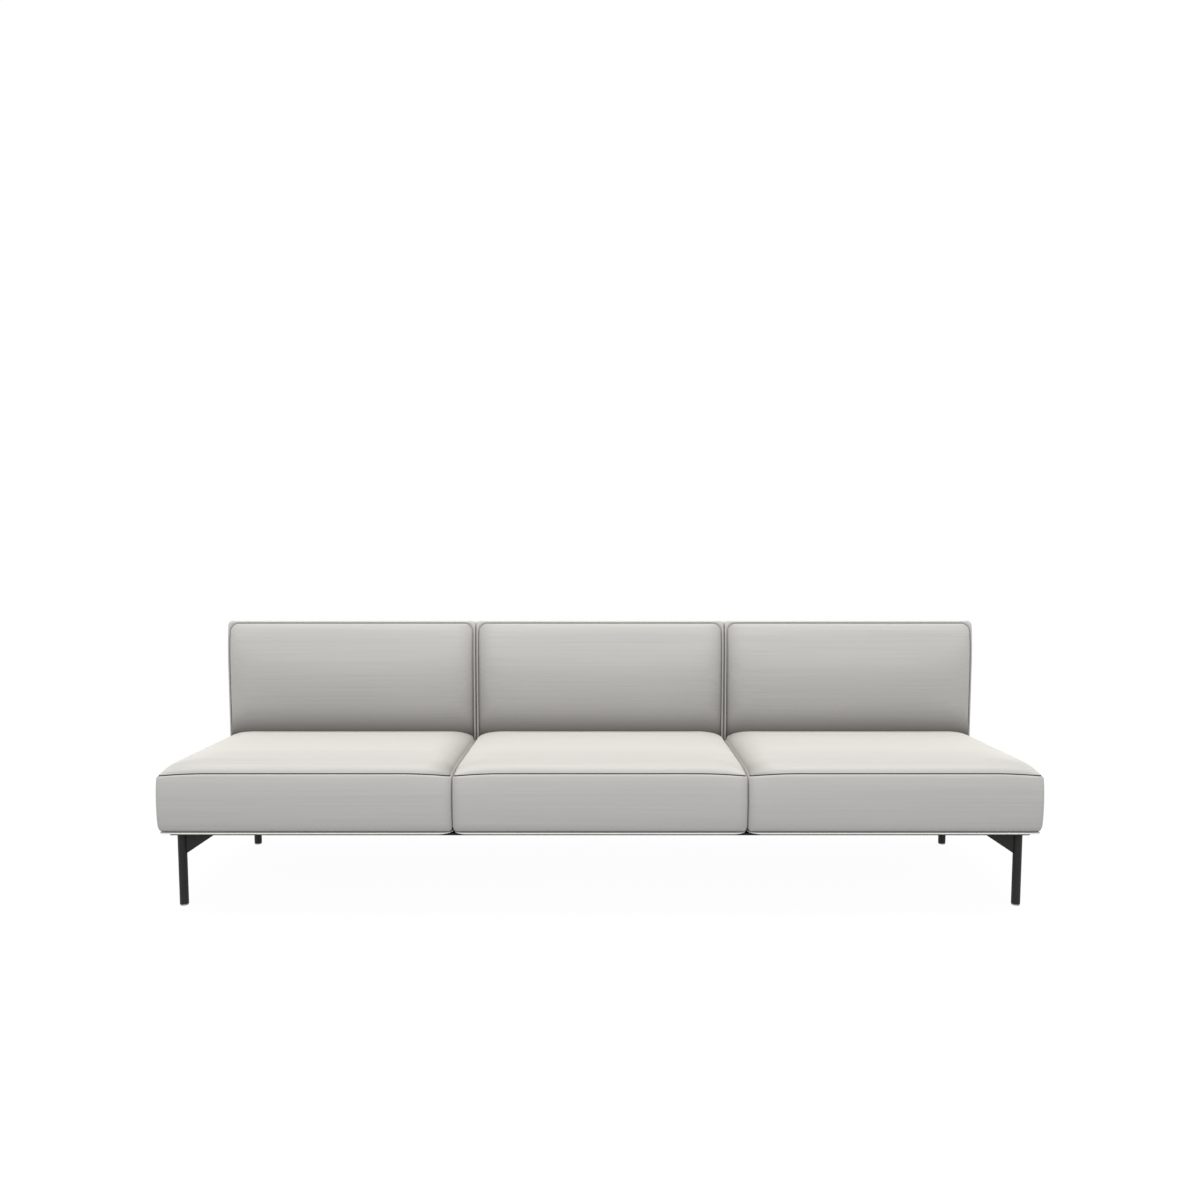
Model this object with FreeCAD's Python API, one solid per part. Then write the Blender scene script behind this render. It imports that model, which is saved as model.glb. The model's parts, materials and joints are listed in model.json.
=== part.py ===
import FreeCAD, Part
import math
import os

# Armless sofa of three equal seats. Millimetres, +Z up.
# The origin is on the floor, under the middle of the sofa's box.
# X runs along the sofa, and the seats look towards -Y.

# Modules
seat_names = ("left", "middle", "right")
module_pitch = 860.0
module_gap = 2.0
seat_depth = 532.0
back_thickness = 135.0
face_bulge = 6.0
rear_bulge = 3.0

# Heights, each counted up from the piece below it
glide_pad_height = 4.0
leg_length = 215.0
plate_thickness = 6.0
board_thickness = 10.0
lip_height = 8.0
seat_wall_height = 169.0
seat_crown = 24.0
back_height = 586.0

# Upholstery
fabric = 1.6
soft_clearance = 0.3
seam_inset = 5.0
ridge_height = 8.0
side_shoulder = 92.0
front_shoulder = 62.0
bottom_draw = 5.0
bottom_roll = 10.0
bottom_flare = 30.0
bulge_height = 110.0
shoulder_draw = 1.0
lip_tuck = 4.0
flange_width = 38.0
seat_corner_radius = 8.0
lip_corner_radius = 26.0
back_corner_radius = 24.0
back_crown = 18.0
back_side_shoulder = 55.0
back_top_shoulder = 150.0
back_top_fall = 10.0
back_draw = 1.5

# Boards under the modules
board_inset = 20.0
board_radius = 20.0

# Wooden frames inside the seats and the backs
frame_inset = 24.0
frame_rail = 20.0
seat_frame_height = 100.0
seat_bar_offset = 132.0
back_frame_depth = 70.0
back_frame_rear_inset = 15.0
back_top_padding = 24.0

# Webbing
strap_width = 50.0
strap_thickness = 1.2
cross_strap_pitch = 95.0
long_strap_pitch = 200.0

# Steel underframe
leg_inset_x = 42.6
leg_inset_front = 64.5
leg_inset_rear = 18.0
leg_diameter = 25.4
leg_wall = 2.0
weld_gap = 0.2
gusset_reach = 88.0
gusset_drop = 62.0
gusset_nose = 3.0
gusset_thickness = 5.0
beam_width = 30.0
beam_height = 50.0
beam_wall = 2.5
front_beam_inset = 217.0
rear_beam_inset = 70.0
beam_end_slope = 35.0
end_rail_width = 30.0
end_rail_height = 20.0
end_rail_wall = 2.0
joint_plate_width = 100.0
end_plate_width = 50.0
plate_front_inset = 39.0
plate_rear_inset = 3.0
plate_pad_reach = 130.0
plate_pad_depth = 60.0
plate_corner_radius = 6.0

# Back uprights
upright_width = 30.0
upright_depth = 20.0
upright_wall = 2.0
upright_height = 420.0
upright_offset = 200.0
slot_clearance = 0.5

# Levelling glides
glide_diameter = 24.0
glide_stem_diameter = 8.0
glide_stem_length = 34.0
glide_clearance = 0.08
plug_length = 22.0
plug_clearance = 0.1

# Worked-out places
depth = seat_depth + back_thickness
half_width = (module_pitch - module_gap) / 2
module_centres = [module_pitch * (i - (len(seat_names) - 1) / 2) for i in range(len(seat_names))]
sofa_half = module_centres[-1] + half_width
y_front = (face_bulge - rear_bulge - depth) / 2
y_back = y_front + seat_depth
y_rear = y_front + depth
z_plate = glide_pad_height + leg_length
z_board = z_plate + plate_thickness
z_lip = z_board + board_thickness
z_wall = z_lip + lip_height
z_seam = z_wall + seat_wall_height
z_back_top = z_lip + back_height
z_frame = z_lip + fabric
leg_x = sofa_half - leg_inset_x
leg_radius = leg_diameter / 2
leg_front_y = y_front + leg_inset_front
leg_rear_y = y_rear - leg_inset_rear
front_beam_y = y_front + front_beam_inset
rear_beam_y = y_rear - rear_beam_inset
seat_rear = y_back - back_crown - soft_clearance
back_frame_front = y_rear - back_frame_rear_inset - back_frame_depth
frame_half = half_width - frame_inset
joint_places = [(a + b) / 2 for a, b in zip(module_centres, module_centres[1:])]
z_straps = z_frame + seat_frame_height
z_straps_top = z_straps + 2 * strap_thickness
z_back_frame_top = z_back_top - back_top_padding
z_upright_top = z_plate + upright_height
y_back_straps = back_frame_front - strap_thickness
back_bar_offset = upright_offset + upright_width / 2 + slot_clearance + frame_rail / 2

parts = {}


def vector(x, y, z):
    return FreeCAD.Vector(x, y, z)


def block(x0, x1, y0, y1, z0, z1):
    return Part.makeBox(x1 - x0, y1 - y0, z1 - z0, vector(x0, y0, z0))


def post(x, y, z0, z1, radius):
    return Part.makeCylinder(radius, z1 - z0, vector(x, y, z0), vector(0, 0, 1))


def moved(shape, x):
    copy = shape.copy()
    copy.translate(vector(x, 0, 0))
    return copy


def mirrored(shape):
    return shape.mirror(vector(0, 0, 0), vector(1, 0, 0))


def plan(level):
    """Puts a flat outline's (u, v) on the level plane at this height."""
    return lambda u, v: vector(u, v, level)


def upright(level):
    """Puts a flat outline's (u, v) on the XZ plane at this Y."""
    return lambda u, v: vector(u, level, v)


def rounded_outline(half, low, high, low_radius, high_radius, place):
    """A rectangle with round corners: lines and quarter arcs. A radius of 0 leaves a corner sharp."""
    short = 1 - math.sqrt(0.5)
    corners = [
        (-half, low, 1, 1, low_radius),
        (half, low, -1, 1, low_radius),
        (half, high, -1, -1, high_radius),
        (-half, high, 1, -1, high_radius),
    ]
    edges = []
    stops = []
    for index, (u, v, to_u, to_v, radius) in enumerate(corners):
        first = place(u, v + to_v * radius)
        last = place(u + to_u * radius, v)
        if index % 2:
            first, last = last, first
        middle = place(u + to_u * radius * short, v + to_v * radius * short)
        stops.append((first, last))
        edges.append([Part.Arc(first, middle, last).toShape()] if radius else [])
    outline = []
    for index in range(4):
        start = stops[index][1]
        stop = stops[(index + 1) % 4][0]
        outline += edges[index] + [Part.LineSegment(start, stop).toShape()]
    return outline


def strip(first, last):
    """The face between two matching edges: a plane between two lines, else a ruled surface."""
    if first.Curve.TypeId != "Part::GeomLine":
        return Part.makeRuledSurface(first, last)
    corners = [first.valueAt(first.FirstParameter), first.valueAt(first.LastParameter)]
    corners += [last.valueAt(last.LastParameter), last.valueAt(last.FirstParameter)]
    return Part.Face(Part.makePolygon(corners + corners[:1]))


def loft(outlines):
    """A closed straight-sided loft through flat outlines that have the same edges."""
    faces = [Part.Face(Part.Wire(outlines[0])), Part.Face(Part.Wire(outlines[-1]))]
    for lower, upper in zip(outlines, outlines[1:]):
        faces += [strip(first, last) for first, last in zip(lower, upper)]
    shell = Part.Shell(faces)
    shell.sewShape()
    solid = Part.Solid(shell)
    if solid.Volume < 0:
        solid.reverse()
    return solid


def joined(shapes):
    solid = shapes[0]
    for shape in shapes[1:]:
        solid = solid.fuse(shape)
    return solid.removeSplitter()


def quarter_steps(count):
    return [math.pi / 2 * step / count for step in range(count + 1)]


def seat_outline(level, side, front, radius, shrink):
    """The seat's plan at one height, drawn in by side and front from its full size."""
    half = half_width - side - shrink
    low = y_front + front + shrink
    return rounded_outline(half, low, seat_rear - shrink, radius, 0, plan(level))


def seat_form(shrink, steps):
    """The seat above its bottom crease: a drawn-in wall, a ridge, a sunk seam and a crown."""
    wall = [
        (0, bottom_draw, bottom_draw),
        (bottom_roll, bottom_draw / 2, bottom_draw / 2),
        (bottom_flare, shoulder_draw, -face_bulge / 3),
        (bulge_height, 0, -face_bulge),
        (seat_wall_height - ridge_height, 0, 0),
        (seat_wall_height - ridge_height / 2, shoulder_draw, shoulder_draw),
        (seat_wall_height, seam_inset, seam_inset),
    ]
    if shrink:
        wall = wall[::2]
    radius = seat_corner_radius
    outlines = []
    for height, side, front in wall:
        outlines.append(seat_outline(z_wall + height, side, front, radius, shrink))
    crown = []
    for angle in quarter_steps(steps):
        side = seam_inset + side_shoulder * (1 - math.cos(angle))
        reach = front_shoulder * (1 - math.cos(angle))
        level = z_seam + (seat_crown - shrink) * math.sin(angle)
        crown.append(seat_outline(level, side, seam_inset + reach, radius, shrink))
    return joined([loft(outlines), loft(crown)])


def seat_lip():
    """The rolled band of cloth under the bottom crease."""
    profile = [
        (0, lip_tuck),
        (lip_height / 3, shoulder_draw),
        (lip_height * 2 / 3, shoulder_draw),
        (lip_height, bottom_draw),
    ]
    outlines = []
    for height, draw in profile:
        radius = lip_corner_radius + (seat_corner_radius - lip_corner_radius) * height / lip_height
        outlines.append(seat_outline(z_lip + height, draw, draw, radius, 0))
    return loft(outlines)


def seat_cover():
    """The seat's cloth: a crowned top, four walls, the lip, and a flange folded under the frame."""
    outer = seat_form(0, 4).fuse(seat_lip())
    reach = bottom_draw + fabric
    pocket = block(
        -half_width + reach, half_width - reach,
        y_front + reach, seat_rear - fabric, z_lip + fabric, z_wall + 1,
    )
    mouth = block(
        -half_width + flange_width, half_width - flange_width,
        y_front + flange_width, seat_rear - flange_width, z_lip - 1, z_wall,
    )
    return outer.cut(seat_form(fabric, 2)).cut(pocket).cut(mouth).removeSplitter()


def back_outline(y, side, top, shrink):
    """The back's outline at one Y, drawn in by side and top from its full size."""
    fall = back_top_fall * min(max((y - y_back) / back_thickness, 0), 1)
    return rounded_outline(
        half_width - side - shrink,
        z_lip + shrink,
        z_back_top - fall - top - shrink,
        0,
        back_corner_radius,
        upright(y),
    )


def back_form(shrink, steps):
    """The back: a crowned front, a sunk seam, a drawn-in border, and a flatter rear."""
    front = []
    for angle in reversed(quarter_steps(steps)):
        share = 1 - math.cos(angle)
        side = seam_inset + back_side_shoulder * share
        top = seam_inset + back_top_shoulder * share
        front.append(back_outline(y_back - (back_crown - shrink) * math.sin(angle), side, top, shrink))
    border = [
        (0, seam_inset),
        (ridge_height / 2, shoulder_draw),
        (ridge_height, 0),
        (back_thickness / 2, back_draw),
        (back_thickness - ridge_height, 0),
        (back_thickness - ridge_height / 2, shoulder_draw),
        (back_thickness, seam_inset),
    ]
    if shrink:
        border = [border[0], border[3], border[6]]
    middle = [back_outline(y_back + along, draw, draw, shrink) for along, draw in border]
    rear = []
    for along, share in ((0, 0), (2 / 3, 1 / 3), (1, 1)):
        draw = seam_inset + back_side_shoulder * share
        rear.append(back_outline(y_rear + (rear_bulge - shrink) * along, draw, draw, shrink))
    return joined([loft(front), loft(middle), loft(rear)])


def seat_envelope(grow):
    """The space that a seat's wooden frame and its webbing fill."""
    return block(
        -frame_half - grow, frame_half + grow,
        y_front + frame_inset - grow, seat_rear - frame_inset + grow,
        z_lip - 1, z_straps_top + grow,
    )


def seat_foam():
    """One moulded block: a thick top, and thinner walls down over the frame's four sides."""
    body = seat_form(fabric + soft_clearance, 2)
    return body.cut(seat_envelope(soft_clearance))


def bays(bars):
    """The open spans between a frame's outer rails and its bars."""
    half = frame_rail / 2
    starts = [-frame_half + frame_rail] + [x + half for x in bars]
    stops = [x - half for x in bars] + [frame_half - frame_rail]
    return list(zip(starts, stops))


def seat_frame():
    """A glued box of four rails with two bars from front to rear."""
    y0, y1 = y_front + frame_inset, seat_rear - frame_inset
    z0, z1 = z_frame, z_frame + seat_frame_height
    frame = block(-frame_half, frame_half, y0, y1, z0, z1)
    for x0, x1 in bays([-seat_bar_offset, seat_bar_offset]):
        frame = frame.cut(block(x0, x1, y0 + frame_rail, y1 - frame_rail, z0 - 1, z1 + 1))
    return frame


def strap_places(pitch, low, high):
    count = max(1, round((high - low) / pitch))
    step = (high - low) / count
    return [low + step * (i + 0.5) for i in range(count)]


def seat_webbing():
    """Elastic straps stapled over the frame: one layer from front to rear, one across on top."""
    y0, y1 = y_front + frame_inset, seat_rear - frame_inset
    half = strap_width / 2
    straps = []
    for x in strap_places(long_strap_pitch, -frame_half, frame_half):
        straps.append(block(x - half, x + half, y0, y1, z_straps, z_straps + strap_thickness))
    for y in strap_places(cross_strap_pitch, y0, y1):
        level = z_straps + strap_thickness
        straps.append(block(-frame_half, frame_half, y - half, y + half, level, level + strap_thickness))
    return Part.makeCompound(straps)


def seat_board():
    """The black board that closes a seat from below and stands on the steel plates."""
    board = block(
        -half_width + board_inset, half_width - board_inset,
        y_front + board_inset, seat_rear - board_inset, z_board, z_lip,
    )
    return board.makeFillet(board_radius, upright_edges(board))


def upright_edges(solid):
    """The straight edges of a solid that run along Z."""
    edges = []
    for edge in solid.Edges:
        low, high = edge.BoundBox.ZMin, edge.BoundBox.ZMax
        if edge.BoundBox.XLength < 0.001 and edge.BoundBox.YLength < 0.001 and high - low > 0.001:
            edges.append(edge)
    return edges


def back_cover():
    """The back's cloth, open underneath around the board and the steel uprights."""
    mouth = block(
        -half_width + flange_width, half_width - flange_width,
        y_back + flange_width, y_rear - flange_width / 2, z_lip - 1, z_lip + flange_width,
    )
    return back_form(0, 3).cut(back_form(fabric, 1)).cut(mouth)


def back_envelope(grow):
    """The space that a back's wooden frame and its webbing fill."""
    return block(
        -frame_half - grow, frame_half + grow,
        y_back_straps - grow, back_frame_front + back_frame_depth + grow,
        z_lip - 1, z_back_frame_top + grow,
    )


def back_foam():
    """One sleeve of foam, pulled down over the frame: thick in front, thin at the other faces."""
    body = back_form(fabric + soft_clearance, 1)
    return body.cut(back_envelope(soft_clearance))


def upright_slots(z0, z1):
    """The slots that a back's two steel uprights pass through."""
    wide = upright_width / 2 + slot_clearance
    deep = upright_depth / 2 + slot_clearance
    slots = []
    for x in (-upright_offset, upright_offset):
        slots.append(block(x - wide, x + wide, rear_beam_y - deep, rear_beam_y + deep, z0, z1))
    return Part.makeCompound(slots)


def back_frame():
    """A glued ladder: two posts, a top and a bottom rail, and three bars between them."""
    y0, y1 = back_frame_front, back_frame_front + back_frame_depth
    frame = block(-frame_half, frame_half, y0, y1, z_frame, z_back_frame_top)
    for x0, x1 in bays([-back_bar_offset, 0, back_bar_offset]):
        frame = frame.cut(block(x0, x1, y0 - 1, y1 + 1, z_frame + frame_rail, z_back_frame_top - frame_rail))
    return frame.cut(upright_slots(z_frame - 1, z_frame + frame_rail + 1))


def back_webbing():
    """Elastic straps stapled across the front of the back's frame."""
    straps = []
    for z in strap_places(cross_strap_pitch, z_frame + frame_rail, z_back_frame_top - frame_rail):
        straps.append(block(
            -frame_half, frame_half, y_back_straps, back_frame_front,
            z - strap_width / 2, z + strap_width / 2,
        ))
    return Part.makeCompound(straps)


def back_board():
    """The black board under a back, with a slot for each steel upright."""
    board = block(
        -half_width + board_inset, half_width - board_inset,
        y_back + board_inset, y_rear - board_inset, z_board, z_lip,
    )
    board = board.makeFillet(board_radius, upright_edges(board))
    return board.cut(upright_slots(z_board - 1, z_lip + 1))


def back_uprights():
    """A pair of flat steel tubes that stand on the rear beam, beside the back frame's bars."""
    wide, deep = upright_width / 2, upright_depth / 2
    y = rear_beam_y
    tubes = []
    for x in (-upright_offset, upright_offset):
        tube = block(x - wide, x + wide, y - deep, y + deep, z_plate, z_upright_top)
        bore = block(
            x - wide + upright_wall, x + wide - upright_wall,
            y - deep + upright_wall, y + deep - upright_wall, z_plate - 1, z_upright_top + 1,
        )
        tubes.append(tube.cut(bore))
    return Part.makeCompound(tubes)


def long_beam(y):
    """A rectangular tube between the end rails, cut back under them at both ends."""
    z0, z1 = z_plate - beam_height, z_plate
    end = leg_x - end_rail_width / 2

    def section(inset):
        low = z0 + inset
        slope = beam_end_slope - inset
        points = [
            vector(-end, y - beam_width / 2 + inset, z1 - inset),
            vector(-end, y - beam_width / 2 + inset, z1 - end_rail_height),
            vector(-end + slope, y - beam_width / 2 + inset, low),
            vector(end - slope, y - beam_width / 2 + inset, low),
            vector(end, y - beam_width / 2 + inset, z1 - end_rail_height),
            vector(end, y - beam_width / 2 + inset, z1 - inset),
        ]
        face = Part.Face(Part.makePolygon(points + points[:1]))
        return face.extrude(vector(0, beam_width - 2 * inset, 0))

    return section(0).cut(section(beam_wall))


def end_rail():
    """The right-hand tube that ties a front leg to a rear leg, coped round both."""
    x0, x1 = leg_x - end_rail_width / 2, leg_x + end_rail_width / 2
    z0, z1 = z_plate - end_rail_height, z_plate
    rail = block(x0, x1, leg_front_y + gusset_thickness, leg_rear_y - gusset_thickness, z0, z1)
    wall = end_rail_wall
    rail = rail.cut(block(x0 + wall, x1 - wall, leg_front_y - 1, leg_rear_y + 1, z0 + wall, z1 - wall))
    radius = leg_radius + weld_gap
    for y in (leg_front_y, leg_rear_y):
        rail = rail.cut(post(leg_x, y, z0 - 1, z1 + 1, radius))
    return rail


def end_plate():
    """The right-hand plate over the legs: a strip with a pad at each end for leg and gusset."""
    outer = leg_x + end_plate_width / 2
    inner = leg_x - end_plate_width / 2
    pad = outer - plate_pad_reach
    y0, y1 = y_front + plate_front_inset, y_rear - plate_rear_inset
    points = [
        (outer, y0), (outer, y1), (pad, y1), (pad, y1 - plate_pad_depth),
        (inner, y1 - plate_pad_depth), (inner, y0 + plate_pad_depth), (pad, y0 + plate_pad_depth), (pad, y0),
    ]
    corners = [vector(x, y, z_plate) for x, y in points]
    plate = Part.Face(Part.makePolygon(corners + corners[:1])).extrude(vector(0, 0, plate_thickness))
    return plate.makeFillet(plate_corner_radius, upright_edges(plate))


def joint_plate(x):
    """The flat plate under a joint between two modules. It carries the edges of both."""
    plate = block(
        x - joint_plate_width / 2, x + joint_plate_width / 2,
        y_front + plate_front_inset, y_rear - plate_rear_inset, z_plate, z_board,
    )
    return plate.makeFillet(plate_corner_radius, upright_edges(plate))


def leg(x, y):
    """A round tube, welded to the plate above it and open below for its plug."""
    tube = post(x, y, glide_pad_height, z_plate, leg_radius)
    return tube.cut(post(x, y, glide_pad_height - 1, z_plate + 1, leg_radius - leg_wall))


def gusset(x, y):
    """The triangular plate between a leg and its end plate, on the side of the sofa's middle."""
    towards = -1 if x > 0 else 1
    start = x + towards * leg_radius
    stop = start + towards * gusset_reach
    y0 = y - gusset_thickness / 2
    points = [
        vector(start, y0, z_plate),
        vector(stop, y0, z_plate),
        vector(stop, y0, z_plate - gusset_nose),
        vector(start, y0, z_plate - gusset_drop),
    ]
    return Part.Face(Part.makePolygon(points + points[:1])).extrude(vector(0, gusset_thickness, 0))


def leg_plug(x, y):
    """The threaded plug pressed into a leg's lower end."""
    z0 = glide_pad_height
    plug = post(x, y, z0, z0 + plug_length, leg_radius - leg_wall - plug_clearance)
    return plug.cut(post(x, y, z0 - 1, z0 + plug_length + 1, glide_stem_diameter / 2 + glide_clearance))


def glide(x, y):
    """A levelling foot: a round pad on a threaded stem."""
    pad = post(x, y, 0, glide_pad_height, glide_diameter / 2)
    stem = post(x, y, glide_pad_height, glide_pad_height + glide_stem_length, glide_stem_diameter / 2)
    return pad.fuse(stem)


module_pieces = {
    "seat_cover": seat_cover(),
    "seat_foam": seat_foam(),
    "seat_frame": seat_frame(),
    "seat_webbing": seat_webbing(),
    "seat_board": seat_board(),
    "back_cover": back_cover(),
    "back_foam": back_foam(),
    "back_frame": back_frame(),
    "back_webbing": back_webbing(),
    "back_board": back_board(),
    "back_uprights": back_uprights(),
}
for name, centre in zip(seat_names, module_centres):
    for piece, shape in module_pieces.items():
        parts[name + "_" + piece] = moved(shape, centre)

parts["front_beam"] = long_beam(front_beam_y)
parts["rear_beam"] = long_beam(rear_beam_y)
parts["right_end_rail"] = end_rail()
parts["left_end_rail"] = mirrored(parts["right_end_rail"])
parts["right_end_plate"] = end_plate()
parts["left_end_plate"] = mirrored(parts["right_end_plate"])
for name, x in zip(("left", "right"), joint_places):
    parts[name + "_joint_plate"] = joint_plate(x)

plugs = []
for row, y in (("front", leg_front_y), ("rear", leg_rear_y)):
    for side, x in (("left", -leg_x), ("right", leg_x)):
        name = row + "_" + side
        parts[name + "_leg"] = leg(x, y)
        parts[name + "_gusset"] = gusset(x, y)
        parts[name + "_glide"] = glide(x, y)
        plugs.append(leg_plug(x, y))
parts["leg_plugs"] = Part.makeCompound(plugs)

os.makedirs("parts", exist_ok=True)
for name, shape in parts.items():
    shape.exportStep(os.path.join("parts", name + ".step"))
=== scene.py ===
"""Looks of an armless three-seat sofa: crowned, seamed cushions on a slim black steel underframe."""
import json
import math

import bpy
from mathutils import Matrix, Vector


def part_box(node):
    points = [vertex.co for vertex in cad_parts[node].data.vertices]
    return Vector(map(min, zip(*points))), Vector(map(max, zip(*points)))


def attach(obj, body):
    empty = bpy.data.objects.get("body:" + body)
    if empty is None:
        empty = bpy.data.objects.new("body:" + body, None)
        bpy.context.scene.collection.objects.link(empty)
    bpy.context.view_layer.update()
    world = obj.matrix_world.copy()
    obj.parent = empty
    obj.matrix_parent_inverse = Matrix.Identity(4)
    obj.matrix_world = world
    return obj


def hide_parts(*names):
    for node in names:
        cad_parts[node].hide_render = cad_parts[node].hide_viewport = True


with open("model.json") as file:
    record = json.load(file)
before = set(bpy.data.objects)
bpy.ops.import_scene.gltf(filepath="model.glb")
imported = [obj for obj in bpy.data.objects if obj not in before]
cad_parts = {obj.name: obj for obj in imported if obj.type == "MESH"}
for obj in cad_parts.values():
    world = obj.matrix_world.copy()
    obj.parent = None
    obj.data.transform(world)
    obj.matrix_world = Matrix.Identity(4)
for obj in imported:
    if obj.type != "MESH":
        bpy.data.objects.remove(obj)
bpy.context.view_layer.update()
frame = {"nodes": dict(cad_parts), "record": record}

MM = 0.001
MODULES = ("left", "middle", "right")
CORNERS = ("front_left", "front_right", "rear_left", "rear_right")

# Net of a cushion, millimetres: cells grow from fine at the edges to coarse in the middle
CELL_FINE = 1.6
CELL_COARSE = 14.0
CELL_GROWTH = 1.16

# Seat cushion, millimetres
FACE_BULGE = 6.0
FACE_FALL = 8.5
CREASE_HEIGHT = 5.0
BOTTOM_DRAW = 5.0
BOTTOM_ROLL = 22.0
UNDERSIDE_INSET = 30.0
UNDERSIDE_RADIUS = 20.0
SEAM_INSET_SIDE = 6.1
SEAM_INSET_FRONT = 7.3
SEAM_DROP = 25.0
SEAT_CROWN = 29.0
TOP_START = 2.5
SIDE_SHOULDER = 92.0
FRONT_SHOULDER = 64.0
FRONT_REACH = 90.0
CORNER_DIP = 7.5
DIP_LENGTH = 150.0
CORNER_FALL = 4.0
CORNER_REACH = 45.0
SEAT_CORNER_RADIUS = 4.0
REAR_CORNER_RADIUS = 5.0
WALL_HEIGHTS = (3, 6, 10, 15, 22, 31, 43, 58, 75, 93, 110, 126, 140, 151)

# Back cushion, millimetres
BACK_HEIGHT = 586.0
BACK_CROWN = 18.0
REAR_BULGE = 3.0
BACK_SEAM_INSET = 8.0
BACK_GROOVE_DEPTH = 2.2
BACK_GROOVE_WIDTH = 3.2
BACK_SIDE_SHOULDER = 55.0
BACK_TOP_SHOULDER = 170.0
BACK_CORNER_RADIUS = 13.0
BACK_CORNER_GROWTH = 2.4
BACK_FOOT_RADIUS = 4.0
BACK_TOP_FALL = 10.0
BACK_DRAW = 1.5
BACK_LEAN = 16.0
BACK_LEAN_START = 200.0
BORDER_SHARES = (0.12, 0.22, 0.35, 0.5, 0.65, 0.78, 0.88)

# Looks of a seam: above 1 it is sewing thread, below 0 it is paler than the cloth round it.
# Below 0 it takes away the painted shade of the hollows, and below -0.7 it is a painted highlight.
SEWN = 2.0
THREAD_LIMIT = 1.5
OUTER_SEAM_SHADE = 0.4
INNER_SEAM_LIGHT = -0.55
BEAD_LIGHT = -0.6
LIP_HIGHLIGHT = -1.5
BACK_SEAM_SHADE = 0.12
FRONT_BAND = 12.0

# Shade in the cloth's hollows: how far the open-air node looks, in metres, and its power
SEAT_HOLLOW = (0.12, 0.3)
BACK_HOLLOW = (0.3, 1.0)

# Painted shade, from 0 to 1, and its reach in millimetres
INNER_SHADE = 0.5
INNER_SHADE_REACH = 90.0
FRONT_SHADE = 0.09
FRONT_SHADE_START = 6.0
FRONT_SHADE_RISE = 30.0
FRONT_SHADE_END = 130.0
FRONT_SHADE_FADE = 70.0
GAP_SHADE = 0.22
GAP_SHADE_REACH = 34.0
BACK_GAP_REACH = 75.0
END_SHADE = 0.08
END_SHADE_REACH = 12.0
WALL_FADE = 9
TOP_SHADE = 0.5
TOP_SHADE_DEPTH = 40.0
TOP_SHADE_FADE = 25.0
TOP_SHADE_BEHIND = 2.0
TOP_SHADE_RISE = 8.0
FOOT_SHADE = 0.9
FOOT_SHADE_REACH = 110.0

# Cloth simulation: pressure, frames, and millimetres of most movement and of the sewing's reach
CLOTH_PRESSURE = 4.0
CLOTH_FRAMES = 14
CLOTH_CAP = 8.0
SEWN_START = 4.0
SEWN_REACH = 60.0

# Camera: the photograph's own
CAMERA_LENS = 27.0
CAMERA_AHEAD = 2.560
CAMERA_HEIGHT = 1.025
CAMERA_PITCH = 4.336
CAMERA_SHIFT = 0.02495


def smooth(t):
    t = min(max(t, 0.0), 1.0)
    return t * t * (3 - 2 * t)


def bulge(t):
    """A quarter ellipse from 0 at an edge to 1 at the end of its shoulder."""
    t = min(max(t, 0.0), 1.0)
    return math.sqrt(1 - (1 - t) ** 2)


def sewn_hold(distance):
    """How firmly the sewing holds a point this far from the nearest seam."""
    return 1 - smooth((distance - SEWN_START) / SEWN_REACH)


def stations(length):
    """Places along a side of this length, close together near both ends."""
    half = [0.0]
    step = CELL_FINE
    while half[-1] + step < length / 2:
        half.append(half[-1] + step)
        step = min(step * CELL_GROWTH, CELL_COARSE)
    other = [length - s for s in reversed(half)]
    gap = other[0] - half[-1]
    if gap < step * 0.5:
        half = half[:-1] + [length / 2]
        other = other[1:]
    return half + other


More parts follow.
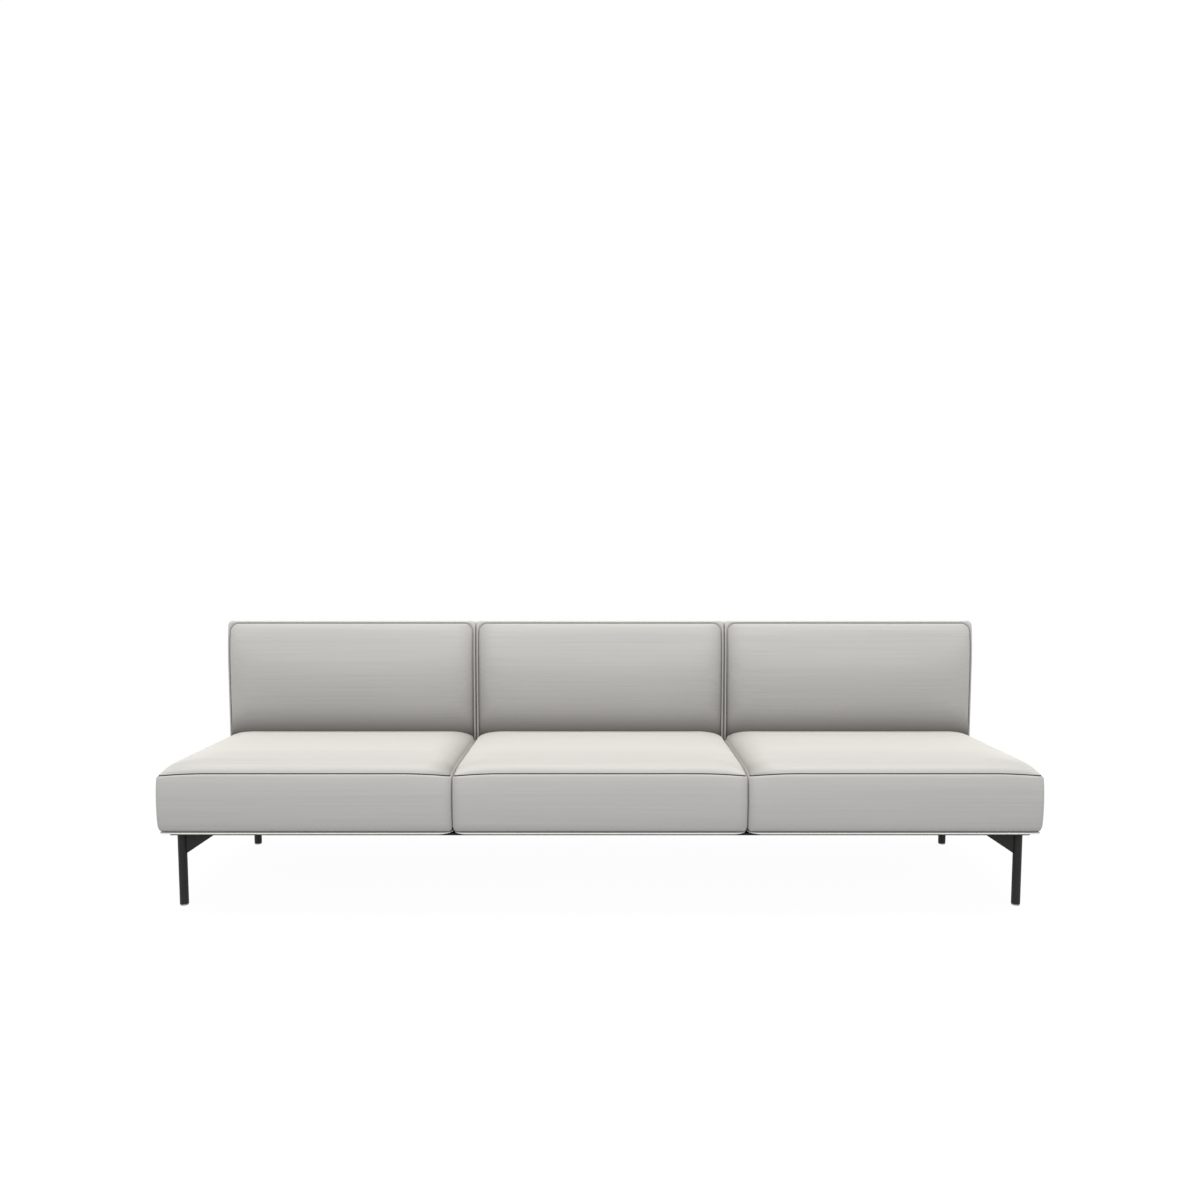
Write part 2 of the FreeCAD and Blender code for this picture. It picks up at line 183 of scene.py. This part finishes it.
class Net:
    """A grid over a rectangle, and matching rings round its edge, joined into one skin."""

    def __init__(self, width, height):
        self.u = stations(width)
        self.v = stations(height)
        self.width = width
        self.height = height
        self.points = []
        self.seam = []
        self.shade = []
        self.held = []
        self.faces = []

    def put(self, place):
        """Keeps a point, its seam look, its painted shade, and how firmly the sewing holds it."""
        x, y, z, seam, shade, held = tuple(place) + (0.0, 0.0, 1.0)[len(place) - 3:]
        self.points.append((x, y, z))
        self.seam.append(seam)
        self.shade.append(shade)
        self.held.append(held)

    def edge_indices(self):
        nu, nv = len(self.u) - 1, len(self.v) - 1
        walk = [(i, 0) for i in range(nu)] + [(nu, j) for j in range(nv)]
        walk += [(i, nv) for i in range(nu, 0, -1)] + [(0, j) for j in range(nv, 0, -1)]
        return walk

    def outline(self, i, j, sides, low, high, low_radius, high_radius):
        """The place of grid point (i, j) when the rectangle is drawn in and its corners rounded."""
        half = self.width / 2 - sides
        bottom, top = low, self.height - high
        x = (self.u[i] / self.width * 2 - 1) * half
        y = bottom + self.v[j] / self.height * (top - bottom)
        near_top = y > (bottom + top) / 2
        radius = high_radius if near_top else low_radius
        if radius <= 0:
            return x, y
        a = (abs(x) - (half - radius)) / radius
        b = (y - (top - radius)) / radius if near_top else ((bottom + radius) - y) / radius
        if a <= 0 or b <= 0:
            return x, y
        a, b = a * math.sqrt(1 - b * b / 2), b * math.sqrt(1 - a * a / 2)
        x = math.copysign(half - radius + a * radius, x)
        y = top - radius + b * radius if near_top else bottom + radius - b * radius
        return x, y

    def sheet(self, place, flip=False):
        """A whole grid. Returns the indices of its edge, in order."""
        start = len(self.points)
        nu, nv = len(self.u), len(self.v)
        for j in range(nv):
            for i in range(nu):
                self.put(place(i, j))
        for j in range(nv - 1):
            for i in range(nu - 1):
                first = start + j * nu + i
                quad = [first, first + 1, first + nu + 1, first + nu]
                self.faces.append(quad[::-1] if flip else quad)
        return [start + j * nu + i for i, j in self.edge_indices()]

    def ring(self, place):
        start = len(self.points)
        walk = self.edge_indices()
        for i, j in walk:
            self.put(place(i, j))
        return list(range(start, start + len(walk)))

    def join(self, lower, upper):
        count = len(lower)
        for k in range(count):
            n = (k + 1) % count
            self.faces.append([lower[k], lower[n], upper[n], upper[k]])

    def build(self, name):
        mesh = bpy.data.meshes.new(name)
        mesh.from_pydata([(x * MM, y * MM, z * MM) for x, y, z in self.points], [], self.faces)
        mesh.attributes.new("seam", "FLOAT", "POINT").data.foreach_set("value", self.seam)
        mesh.attributes.new("shade", "FLOAT", "POINT").data.foreach_set("value", self.shade)
        mesh.polygons.foreach_set("use_smooth", [True] * len(mesh.polygons))
        piece = bpy.data.objects.new(name, mesh)
        bpy.context.scene.collection.objects.link(piece)
        fill_with_air(piece, self.held)
        return piece


def fill_with_air(piece, held):
    """Cloth simulation: air fills the panels between the seams, and no point moves past the cap."""
    group = piece.vertex_groups.new(name="sewn")
    for index, weight in enumerate(held):
        if weight > 0:
            group.add([index], weight, "REPLACE")
    cloth = piece.modifiers.new("cloth", "CLOTH")
    settings = cloth.settings
    settings.quality = 4
    settings.mass = 0.3
    settings.tension_stiffness = 30
    settings.compression_stiffness = 30
    settings.shear_stiffness = 12
    settings.bending_stiffness = 2.0
    settings.use_pressure = True
    settings.uniform_pressure_force = CLOTH_PRESSURE
    settings.vertex_group_mass = "sewn"
    settings.effector_weights.gravity = 0
    cloth.collision_settings.use_collision = False
    cloth.point_cache.frame_start = 1
    cloth.point_cache.frame_end = CLOTH_FRAMES
    scene = bpy.context.scene
    for frame_number in range(1, CLOTH_FRAMES + 1):
        scene.frame_set(frame_number)
    filled = piece.evaluated_get(bpy.context.evaluated_depsgraph_get()).data
    moves = []
    for point, after, weight in zip(piece.data.vertices, filled.vertices, held):
        move = after.co - point.co
        cap = CLOTH_CAP * MM * (1 - weight)
        moves.append(move * (cap / (move.length + cap)) if cap > 0 else move * 0)
    scene.frame_set(1)
    piece.modifiers.remove(cloth)
    piece.vertex_groups.clear()
    for point, move in zip(piece.data.vertices, moves):
        point.co += move


def node_box(node):
    low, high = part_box(node)
    return [c / MM for c in low], [c / MM for c in high]


def beside_gap(module, x):
    """Whether this side of a module faces the module beside it."""
    return (module != "left" or x > 0) and (module != "right" or x < 0)


def seat_cushion(module):
    """One seat: lip, drawn-in wall, ridge, sunk seam and a crowned top."""
    low, high = node_box(module + "_seat_cover")
    centre = (low[0] + high[0]) / 2
    width = high[0] - low[0]
    front = low[1] + FACE_BULGE
    depth = high[1] - front
    z_lip = low[2]
    z_wall = z_lip + CREASE_HEIGHT
    z_seam = high[2] - SEAM_DROP
    wall_height = z_seam - z_wall
    net = Net(width, depth)

    def front_share(y):
        return 1 - smooth(y / FRONT_REACH)

    def lift(x, y):
        """The front seam sinks towards the module's corners."""
        reach = (abs(x) - (width / 2 - DIP_LENGTH)) / DIP_LENGTH
        return -CORNER_DIP * max(reach, 0.0) ** 2 * front_share(y)

    def corner_back(x, y):
        """The front falls back towards the module's corners."""
        return CORNER_FALL * (1 - bulge((width / 2 - abs(x)) / CORNER_REACH)) * front_share(y)

    def side_shade(x):
        """Shade on a wall near its module's corners, deeper beside a gap than at the sofa's ends."""
        to_side = width / 2 - abs(x)
        if beside_gap(module, x):
            return GAP_SHADE * max(1 - to_side / GAP_SHADE_REACH, 0.0) ** 2.5
        return END_SHADE * max(1 - to_side / END_SHADE_REACH, 0.0)

    def seam_look(x, seam):
        """A seam is dark along the front, faint at the sofa's ends and pale beside a gap, where it takes
        away painted shade.
        """
        return INNER_SEAM_LIGHT if beside_gap(module, x) else min(seam, 1.0) * OUTER_SEAM_SHADE

    def edge_ring(height, side, ahead, radius, follows=1.0, soft=1.0, seam=0.0):
        """One ring round the seat. It follows the seam's dips by this share."""
        end_radius = max(radius / 2, SEAT_CORNER_RADIUS)

        def place(i, j):
            corner = radius if beside_gap(module, net.u[i] - width / 2) else end_radius
            x, y = net.outline(i, j, side, ahead, 0.0, corner, REAR_CORNER_RADIUS)
            back = corner_back(x, y) * soft
            on_side = seam > 0 and y - ahead > FRONT_BAND and follows > 0
            look = seam_look(x, seam) if on_side else seam
            shade = side_shade(x) * min(follows * WALL_FADE, 1)
            return centre + x, front + y + back, height + lift(x, y) * follows, look, shade

        return net.ring(place)

    def underside(i, j):
        inset = UNDERSIDE_INSET
        x, y = net.outline(i, j, inset, inset, 0.0, UNDERSIDE_RADIUS, REAR_CORNER_RADIUS)
        return centre + x, front + y, z_lip + lip[0][0]

    # Height above the cover's bottom, draw from the edge, corner radius and seam look
    lip = [
        (0.2, 18.0, 46, 0.0),
        (-1.0, 13.0, 46, 0.0),
        (-1.5, 8.0, 46, 0.0),
        (-1.7, 4.5, 44, 0.0),
        (-1.5, 2.2, 42, 0.0),
        # Painted highlight on the lip's roll, which faces up to the light.
        (-1.1, 1.0, 39, LIP_HIGHLIGHT),
        (-0.5, 0.7, 35, LIP_HIGHLIGHT),
        (0.3, 1.4, 30, LIP_HIGHLIGHT),
        (1.3, 2.8, 25, LIP_HIGHLIGHT),
        (2.1, 4.4, 20, 0.0),
        # The crease above the lip is darkened as a seam: a dark joint and painted shade in the crease.
        (2.7, 6.0, 15, 0.2),
        (3.0, 7.6, 11, 1.0),
        (3.3, 9.0, 9, 1.0),
        (4.2, 8.8, 7, 1.0),
        (4.9, 7.4, 6, 0.8),
        (6.0, 6.2, 5, 0.3),
        (7.2, 5.7, 4, 0.0),
    ]
    last = net.sheet(underside, flip=True)
    for height, draw, radius, seam in lip:
        edge = edge_ring(z_lip + height, draw, draw, radius, 0.0, 0.5, seam)
        net.join(last, edge)
        last = edge
    for height in WALL_HEIGHTS:
        share = height / wall_height
        rounding = max(1 - height / BOTTOM_ROLL, 0.0) ** 2
        ahead = FACE_FALL * abs(2 * share - 1) ** 2.4 - FACE_BULGE + rounding * BOTTOM_DRAW * 0.7
        edge = edge_ring(z_wall + height, rounding * BOTTOM_DRAW, ahead, SEAT_CORNER_RADIUS, share)
        net.join(last, edge)
        last = edge
    # Drop below the seam's edge, draw at the sides, draw at the front and seam look
    ridge = [
        (9.0, 0.1, 0.6, 0.0),
        (6.0, 0.3, 1.3, 0.0),
        (4.0, 0.7, 2.0, 0.0),
        (2.2, 1.6, 2.9, 0.0),
        (1.1, 2.8, 4.0, 0.0),
        (0.9, 3.7, 4.8, 0.4),
        (1.8, 4.5, 5.5, 1.0),
        (3.2, 5.0, 6.0, SEWN),
        (3.2, 5.5, 6.6, SEWN),
        (1.6, 5.8, 6.9, SEWN),
        (-1.6, 5.95, 7.1, SEWN),
        (-2.2, 6.0, 7.15, 0.3),
    ]
    for drop, side, ahead, seam in ridge:
        edge = edge_ring(z_seam - drop, side, ahead, SEAT_CORNER_RADIUS, seam=seam)
        net.join(last, edge)
        last = edge

    def top_place(i, j):
        side, ahead = SEAM_INSET_SIDE, SEAM_INSET_FRONT
        x, y = net.outline(i, j, side, ahead, 0.0, SEAT_CORNER_RADIUS, REAR_CORNER_RADIUS)
        to_side = width / 2 - side - abs(x)
        to_front = y - ahead
        rise = bulge(to_side / SIDE_SHOULDER) * bulge(to_front / FRONT_SHOULDER)
        back = corner_back(x, y)
        height = z_seam + TOP_START + (SEAT_CROWN - TOP_START) * rise + lift(x, y)
        inner = max(1 - to_side / INNER_SHADE_REACH, 0.0) ** 1.6 if x * centre < 0 else 0.0
        ahead_share = smooth((to_front - FRONT_SHADE_START) / FRONT_SHADE_RISE)
        ahead_share *= 1 - smooth((to_front - FRONT_SHADE_END) / FRONT_SHADE_FADE)
        shade = max(INNER_SHADE * inner, FRONT_SHADE * ahead_share)
        hold = sewn_hold(min(to_side, to_front, depth - y))
        return centre + x, front + y + back, height, 0.0, shade, hold

    top = net.sheet(top_place)
    net.join(last, top)
    piece = net.build(module + "_seat_cushion")
    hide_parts(module + "_seat_cover", module + "_seat_foam")
    return piece


def back_cushion(module):
    """One back: a crowned front panel, a beaded seam, a slightly drawn-in border and a rear panel."""
    low, high = node_box(module + "_back_cover")
    centre = (low[0] + high[0]) / 2
    width = high[0] - low[0]
    foot = low[2]
    front = low[1] + BACK_CROWN
    rear = high[1] - REAR_BULGE
    thickness = rear - front
    net = Net(width, BACK_HEIGHT)
    deep = BACK_GROOVE_DEPTH
    seat_top = node_box(module + "_seat_cover")[1][2]

    def fall(y):
        return BACK_TOP_FALL * min(max((y - front) / thickness, 0), 1)

    def lean(y, z):
        """The top of the front leans back. The rear stays where it is."""
        share = max((z - BACK_HEIGHT + BACK_LEAN_START) / BACK_LEAN_START, 0.0)
        return y + BACK_LEAN * share ** 3 * min(max((rear - y) / thickness, 0.0), 1.0)

    def edge_ring(y, draw, seam=0.0):
        def place(i, j):
            radius = BACK_CORNER_RADIUS + draw * BACK_CORNER_GROWTH
            x, z = net.outline(i, j, draw, draw * 0.2, draw + fall(y), BACK_FOOT_RADIUS, radius)
            on_top = smooth((z - BACK_HEIGHT + TOP_SHADE_DEPTH) / TOP_SHADE_FADE)
            on_top *= smooth((y - front - TOP_SHADE_BEHIND) / TOP_SHADE_RISE)
            return centre + x, lean(y, z), foot + z, seam, TOP_SHADE * on_top
        return net.ring(place)

    def panel(base, height, direction, inset, side_shoulder, top_shoulder):
        def place(i, j):
            radius = BACK_CORNER_RADIUS + inset * BACK_CORNER_GROWTH
            x, z = net.outline(i, j, inset, inset * 0.2, inset + fall(base), BACK_FOOT_RADIUS, radius)
            to_side = width / 2 - inset - abs(x)
            to_top = BACK_HEIGHT - inset - fall(base) - z
            rise = bulge(to_side / side_shoulder) * bulge(to_top / top_shoulder)
            sunk = 1 - smooth(min(to_side, to_top) / BACK_GROOVE_WIDTH)
            y = base + direction * (height * rise - deep * sunk)
            seat_fall = SEAT_CROWN * (1 - bulge((width / 2 - abs(x)) / SIDE_SHOULDER))
            above = foot + z - seat_top + seat_fall
            low_share = min(max(1 - above / FOOT_SHADE_REACH, 0.0), 1.0)
            shade = FOOT_SHADE * low_share ** 2 if direction < 0 else 0.0
            if beside_gap(module, x):
                shade = max(shade, GAP_SHADE * max(1 - to_side / BACK_GAP_REACH, 0.0) ** 2)
            hold = sewn_hold(min(to_side, to_top, z))
            return centre + x, lean(y, z), foot + z, sunk * BACK_SEAM_SHADE, shade, hold
        return place

    edge_in = BACK_SEAM_INSET + 1.2
    front_panel = panel(front, BACK_CROWN, -1, edge_in, BACK_SIDE_SHOULDER, BACK_TOP_SHOULDER)
    rear_panel = panel(rear, REAR_BULGE, 1, edge_in, BACK_SIDE_SHOULDER, BACK_SIDE_SHOULDER)
    last = net.sheet(front_panel)
    # Distance behind the front's edge, draw from the outer edge and seam look
    bead = [
        (deep, BACK_SEAM_INSET + 0.5, BACK_SEAM_SHADE),
        (deep * 0.6, BACK_SEAM_INSET, BACK_SEAM_SHADE),
        (0.2, BACK_SEAM_INSET - 0.8, 0.0),
        # The bead's crest takes away the painted shade of the hollows.
        (-0.7, BACK_SEAM_INSET - 1.9, BEAD_LIGHT),
        (-1.0, BACK_SEAM_INSET - 3.3, BEAD_LIGHT),
        (-0.5, BACK_SEAM_INSET - 5.0, BEAD_LIGHT),
        (1.0, BACK_SEAM_INSET - 6.6, 0.0),
        (3.4, 0.6, 0.0),
        (6.0, 0.1, 0.0),
    ]
    for along, draw, seam in bead:
        edge = edge_ring(front + along, draw, seam)
        net.join(edge, last)
        last = edge
    for share in BORDER_SHARES:
        edge = edge_ring(front + thickness * share, BACK_DRAW * math.sin(math.pi * share))
        net.join(edge, last)
        last = edge
    for along, draw, seam in reversed(bead):
        edge = edge_ring(rear - along, draw, seam)
        net.join(edge, last)
        last = edge
    behind = net.sheet(rear_panel, flip=True)
    net.join(behind, last)
    piece = net.build(module + "_back_cushion")
    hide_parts(module + "_back_cover", module + "_back_foam")
    return piece


def nodes_of(material):
    material.use_nodes = True
    tree = material.node_tree
    tree.nodes.clear()
    shader = tree.nodes.new("ShaderNodeBsdfPrincipled")
    output = tree.nodes.new("ShaderNodeOutputMaterial")
    tree.links.new(shader.outputs[0], output.inputs[0])
    return tree, shader


def add(tree, kind, **values):
    node = tree.nodes.new(kind)
    for key, value in values.items():
        setattr(node, key, value)
    return node


def scaled_place(tree, scale):
    """Object coordinates in metres, stretched by these three factors."""
    place = add(tree, "ShaderNodeTexCoord")
    mapping = add(tree, "ShaderNodeMapping")
    mapping.inputs["Scale"].default_value = scale
    tree.links.new(place.outputs["Object"], mapping.inputs["Vector"])
    return mapping.outputs[0]


def noise(tree, scale, detail=2.0, roughness=0.5):
    node = add(tree, "ShaderNodeTexNoise")
    node.inputs["Scale"].default_value = 1.0
    node.inputs["Detail"].default_value = detail
    node.inputs["Roughness"].default_value = roughness
    tree.links.new(scaled_place(tree, scale), node.inputs["Vector"])
    return node.outputs["Fac"]


def math_node(tree, operation, first, second):
    node = add(tree, "ShaderNodeMath", operation=operation)
    for socket, value in zip(node.inputs, (first, second)):
        if isinstance(value, (int, float)):
            socket.default_value = value
        else:
            tree.links.new(value, socket)
    return node.outputs[0]


def colour_mix(tree, factor, first, second):
    node = add(tree, "ShaderNodeMix", data_type="RGBA")
    tree.links.new(factor, node.inputs[0])
    for socket, value in ((node.inputs[6], first), (node.inputs[7], second)):
        if isinstance(value, tuple):
            socket.default_value = value
        else:
            tree.links.new(value, socket)
    return node.outputs[2]


def bump(tree, shader, height, distance, strength=1.0):
    node = add(tree, "ShaderNodeBump")
    node.inputs["Strength"].default_value = strength
    node.inputs["Distance"].default_value = distance
    tree.links.new(height, node.inputs["Height"])
    tree.links.new(node.outputs[0], shader.inputs["Normal"])


def upholstery_material(name, reach, power):
    """A light warm grey cloth with fine ribs that run along the sofa, and a pale fuzz at a low angle."""
    material = bpy.data.materials.new(name)
    tree, shader = nodes_of(material)
    streaks = noise(tree, (1.6, 170.0, 170.0), 3.0, 0.6)
    threads = noise(tree, (900.0, 1500.0, 1500.0), 1.0)
    clouds = noise(tree, (6.0, 6.0, 6.0), 2.0)
    streaked = colour_mix(tree, streaks, (0.362, 0.358, 0.349, 1), (0.544, 0.539, 0.527, 1))
    cloudy = colour_mix(tree, clouds, (0.455, 0.450, 0.440, 1), streaked)
    # Painted shade: the open-air node darkens the colour in the hollows, creases and gaps.
    hollow = add(tree, "ShaderNodeAmbientOcclusion", samples=8)
    hollow.inputs["Distance"].default_value = reach
    seam = add(tree, "ShaderNodeAttribute", attribute_name="seam")
    # Below 0 the seam look takes this painted shade away, as on the backs' beads and the seams beside a
    # gap.
    bead = math_node(tree, "MULTIPLY", seam.outputs["Fac"], -1.4)
    open_air = math_node(tree, "MAXIMUM", bead, math_node(tree, "POWER", hollow.outputs["AO"], power))
    dark = (0.075, 0.068, 0.060, 1)
    # Painted shade: the shade attribute darkens the colour further, towards the same dark.
    shade = add(tree, "ShaderNodeAttribute", attribute_name="shade")
    shaded = colour_mix(tree, shade.outputs["Fac"], colour_mix(tree, open_air, dark, cloudy), dark)
    # Painted highlight: below -0.7 the seam look turns the colour paler, as on the seat's lip.
    pale = math_node(tree, "SUBTRACT", math_node(tree, "MULTIPLY", seam.outputs["Fac"], -1.0), 0.7)
    shaded = colour_mix(tree, pale, shaded, (0.88, 0.87, 0.84, 1))
    colour = colour_mix(tree, seam.outputs["Fac"], shaded, (0.11, 0.105, 0.095, 1))
    tree.links.new(colour, shader.inputs["Base Color"])
    ribs = math_node(tree, "MULTIPLY", streaks, 0.7)
    height = math_node(tree, "ADD", ribs, math_node(tree, "MULTIPLY", threads, 0.3))
    bump(tree, shader, height, 0.0004, 0.5)
    shader.inputs["Roughness"].default_value = 0.88
    shader.inputs["Specular IOR Level"].default_value = 0.2
    shader.inputs["Sheen Weight"].default_value = 1.0
    shader.inputs["Sheen Roughness"].default_value = 0.3
    shader.inputs["Sheen Tint"].default_value = (1.0, 0.972, 0.93, 1)
    return material


def steel_material():
    """Black powder coat with a fine grain."""
    material = bpy.data.materials.new("powder_coated_steel")
    tree, shader = nodes_of(material)
    grain = noise(tree, (1400.0, 1400.0, 1400.0), 2.0)
    patches = noise(tree, (14.0, 14.0, 14.0), 2.0)
    colour = colour_mix(tree, patches, (0.009, 0.009, 0.0095, 1), (0.015, 0.0145, 0.014, 1))
    tree.links.new(colour, shader.inputs["Base Color"])
    bump(tree, shader, grain, 0.00015, 0.35)
    shader.inputs["Roughness"].default_value = 0.5
    shader.inputs["Specular IOR Level"].default_value = 0.27
    return material


def plain_material(name, dark, light, scale, roughness, bump_height):
    material = bpy.data.materials.new(name)
    tree, shader = nodes_of(material)
    grain = noise(tree, scale, 4.0, 0.6)
    tree.links.new(colour_mix(tree, grain, dark, light), shader.inputs["Base Color"])
    bump(tree, shader, grain, bump_height, 0.4)
    shader.inputs["Roughness"].default_value = roughness
    return material


def dress(piece, *materials):
    """Gives the piece its material. A second one goes on the faces that lie wholly in a sewn seam."""
    piece.data.materials.clear()
    for material in materials:
        piece.data.materials.append(material)
    if len(materials) > 1:
        seam = piece.data.attributes["seam"].data
        for face in piece.data.polygons:
            face.material_index = int(min(seam[v].value for v in face.vertices) > THREAD_LIMIT)


def weld_ring(corner):
    """The weld bead between a leg's top and the plate above it."""
    low, high = node_box(corner + "_leg")
    x, y = (low[0] + high[0]) / 2, (low[1] + high[1]) / 2
    radius = (high[0] - low[0]) / 2
    profile = [(-0.4, 4.2), (0.5, 3.4), (0.9, 2.3), (1.6, 1.2), (2.6, 0.4), (3.6, 0.0), (-0.4, 0.0)]
    count = 48
    points = []
    faces = []
    for k in range(count):
        angle = 2 * math.pi * k / count
        wave = 1 + 0.10 * math.sin(angle * 14)
        for out, down in profile:
            reach = radius + out * wave
            points.append((x + reach * math.cos(angle), y + reach * math.sin(angle), high[2] - down))
    size = len(profile)
    for k in range(count):
        n = (k + 1) % count
        for p in range(size):
            q = (p + 1) % size
            faces.append([k * size + p, n * size + p, n * size + q, k * size + q])
    mesh = bpy.data.meshes.new(corner + "_weld")
    mesh.from_pydata([(a * MM, b * MM, c * MM) for a, b, c in points], [], faces)
    mesh.polygons.foreach_set("use_smooth", [True] * len(mesh.polygons))
    piece = bpy.data.objects.new(corner + "_weld", mesh)
    bpy.context.scene.collection.objects.link(piece)
    return piece


def finish(name, dark, light, scale, roughness, bump_height):
    """A material in two tones, given as levels of grey or as colours, with a noise of this scale."""
    tones = [(t, t, t, 1) if isinstance(t, float) else t + (1,) for t in (dark, light)]
    return plain_material(name, *tones, scale, roughness, bump_height)


seat_cloth = upholstery_material("seat_cloth", *SEAT_HOLLOW)
back_cloth = upholstery_material("back_cloth", *BACK_HOLLOW)
thread = finish("seam_thread", (0.02, 0.018, 0.016), (0.05, 0.046, 0.04), (700, 700, 700), 0.9, 0.0001)
steel = steel_material()
board = finish("black_board_face", 0.012, 0.022, (300, 300, 300), 0.7, 0.0002)
foot_grey = finish("grey_foot_face", (0.36, 0.36, 0.35), (0.44, 0.44, 0.43), (200, 200, 200), 0.5, 0.0001)
plastic = finish("black_plastic_face", 0.012, 0.02, (200, 200, 200), 0.5, 0.0001)
wood = finish("raw_wood", (0.36, 0.22, 0.12), (0.62, 0.44, 0.27), (4, 60, 60), 0.7, 0.0003)
webbing = finish("elastic_webbing", (0.02, 0.018, 0.016), (0.06, 0.055, 0.05), (500, 500, 500), 0.9, 0.0003)
finishes = {
    "black_steel": steel,
    "black_board": board,
    "grey_foot": foot_grey,
    "black_plastic": plastic,
    "wood": wood,
    "webbing": webbing,
}
slots = {entry["node"]: entry["material_slot"] for entry in frame["record"]["subparts"]}
for name, node in frame["nodes"].items():
    if slots[name] in finishes:
        dress(node, finishes[slots[name]])

for module in MODULES:
    for piece, cloth in ((seat_cushion(module), seat_cloth), (back_cushion(module), back_cloth)):
        dress(piece, cloth, thread)
        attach(piece, "sofa")
for corner in CORNERS:
    ring = weld_ring(corner)
    dress(ring, steel)
    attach(ring, "sofa")


def studio():
    """A white floor that keeps a faint shadow, soft light from above and in front, and the camera."""
    scene = bpy.context.scene
    scene.view_settings.view_transform = "Standard"
    mesh = bpy.data.meshes.new("floor")
    reach = 30.0
    corners = [(-reach, -reach, 0), (reach, -reach, 0), (reach, reach, 0), (-reach, reach, 0)]
    mesh.from_pydata(corners, [], [(0, 1, 2, 3)])
    floor = bpy.data.objects.new("floor", mesh)
    scene.collection.objects.link(floor)
    material = bpy.data.materials.new("floor_paint")
    tree, shader = nodes_of(material)
    shader.inputs["Base Color"].default_value = (0.25, 0.25, 0.25, 1)
    shader.inputs["Roughness"].default_value = 0.9
    shader.inputs["Specular IOR Level"].default_value = 0.0
    glow = add(tree, "ShaderNodeEmission")
    glow.inputs["Color"].default_value = (1, 1, 1, 1)
    glow.inputs["Strength"].default_value = 1.13
    path = add(tree, "ShaderNodeLightPath")
    seen = add(tree, "ShaderNodeMixShader")
    direct = math_node(tree, "MAXIMUM", path.outputs["Is Camera Ray"], path.outputs["Is Glossy Ray"])
    share = math_node(tree, "MULTIPLY", direct, 0.85)
    output = next(n for n in tree.nodes if n.type == "OUTPUT_MATERIAL")
    tree.links.new(share, seen.inputs[0])
    tree.links.new(shader.outputs[0], seen.inputs[1])
    tree.links.new(glow.outputs[0], seen.inputs[2])
    tree.links.new(seen.outputs[0], output.inputs[0])
    dress(floor, material)

    world = bpy.data.worlds.new("studio")
    scene.world = world
    world.use_nodes = True
    tree = world.node_tree
    tree.nodes.clear()
    background = add(tree, "ShaderNodeBackground")
    background.inputs["Color"].default_value = (1, 1, 1, 1)
    output = add(tree, "ShaderNodeOutputWorld")
    background.inputs["Strength"].default_value = 1.03
    tree.links.new(background.outputs[0], output.inputs[0])

    def lamp(name, place, target, size, power, colour):
        light = bpy.data.lights.new(name, "AREA")
        light.shape = "RECTANGLE"
        light.size, light.size_y = size
        light.energy = power
        light.color = colour
        piece = bpy.data.objects.new(name, light)
        scene.collection.objects.link(piece)
        piece.location = place
        piece.rotation_euler = (Vector(target) - Vector(place)).to_track_quat("-Z", "Y").to_euler()
        piece.visible_camera = False

    lamp("front", (0, -4.0, 2.2), (0, 0, 0.5), (5.0, 1.5), 64, (1.0, 1.0, 1.0))
    lamp("overhead", (0, 0, 3.6), (0, 0, 0.5), (5.0, 1.2), 79, (1.0, 0.955, 0.85))

    camera = bpy.data.cameras.new("camera")
    camera.sensor_width = 36.0
    camera.lens = CAMERA_LENS
    camera.shift_y = CAMERA_SHIFT
    piece = bpy.data.objects.new("camera", camera)
    scene.collection.objects.link(piece)
    seat_front = node_box("middle_seat_cover")[0][1] * MM
    piece.location = (0, seat_front - CAMERA_AHEAD, CAMERA_HEIGHT)
    piece.rotation_euler = (math.radians(90 - CAMERA_PITCH), 0, 0)
    scene.camera = piece


studio()
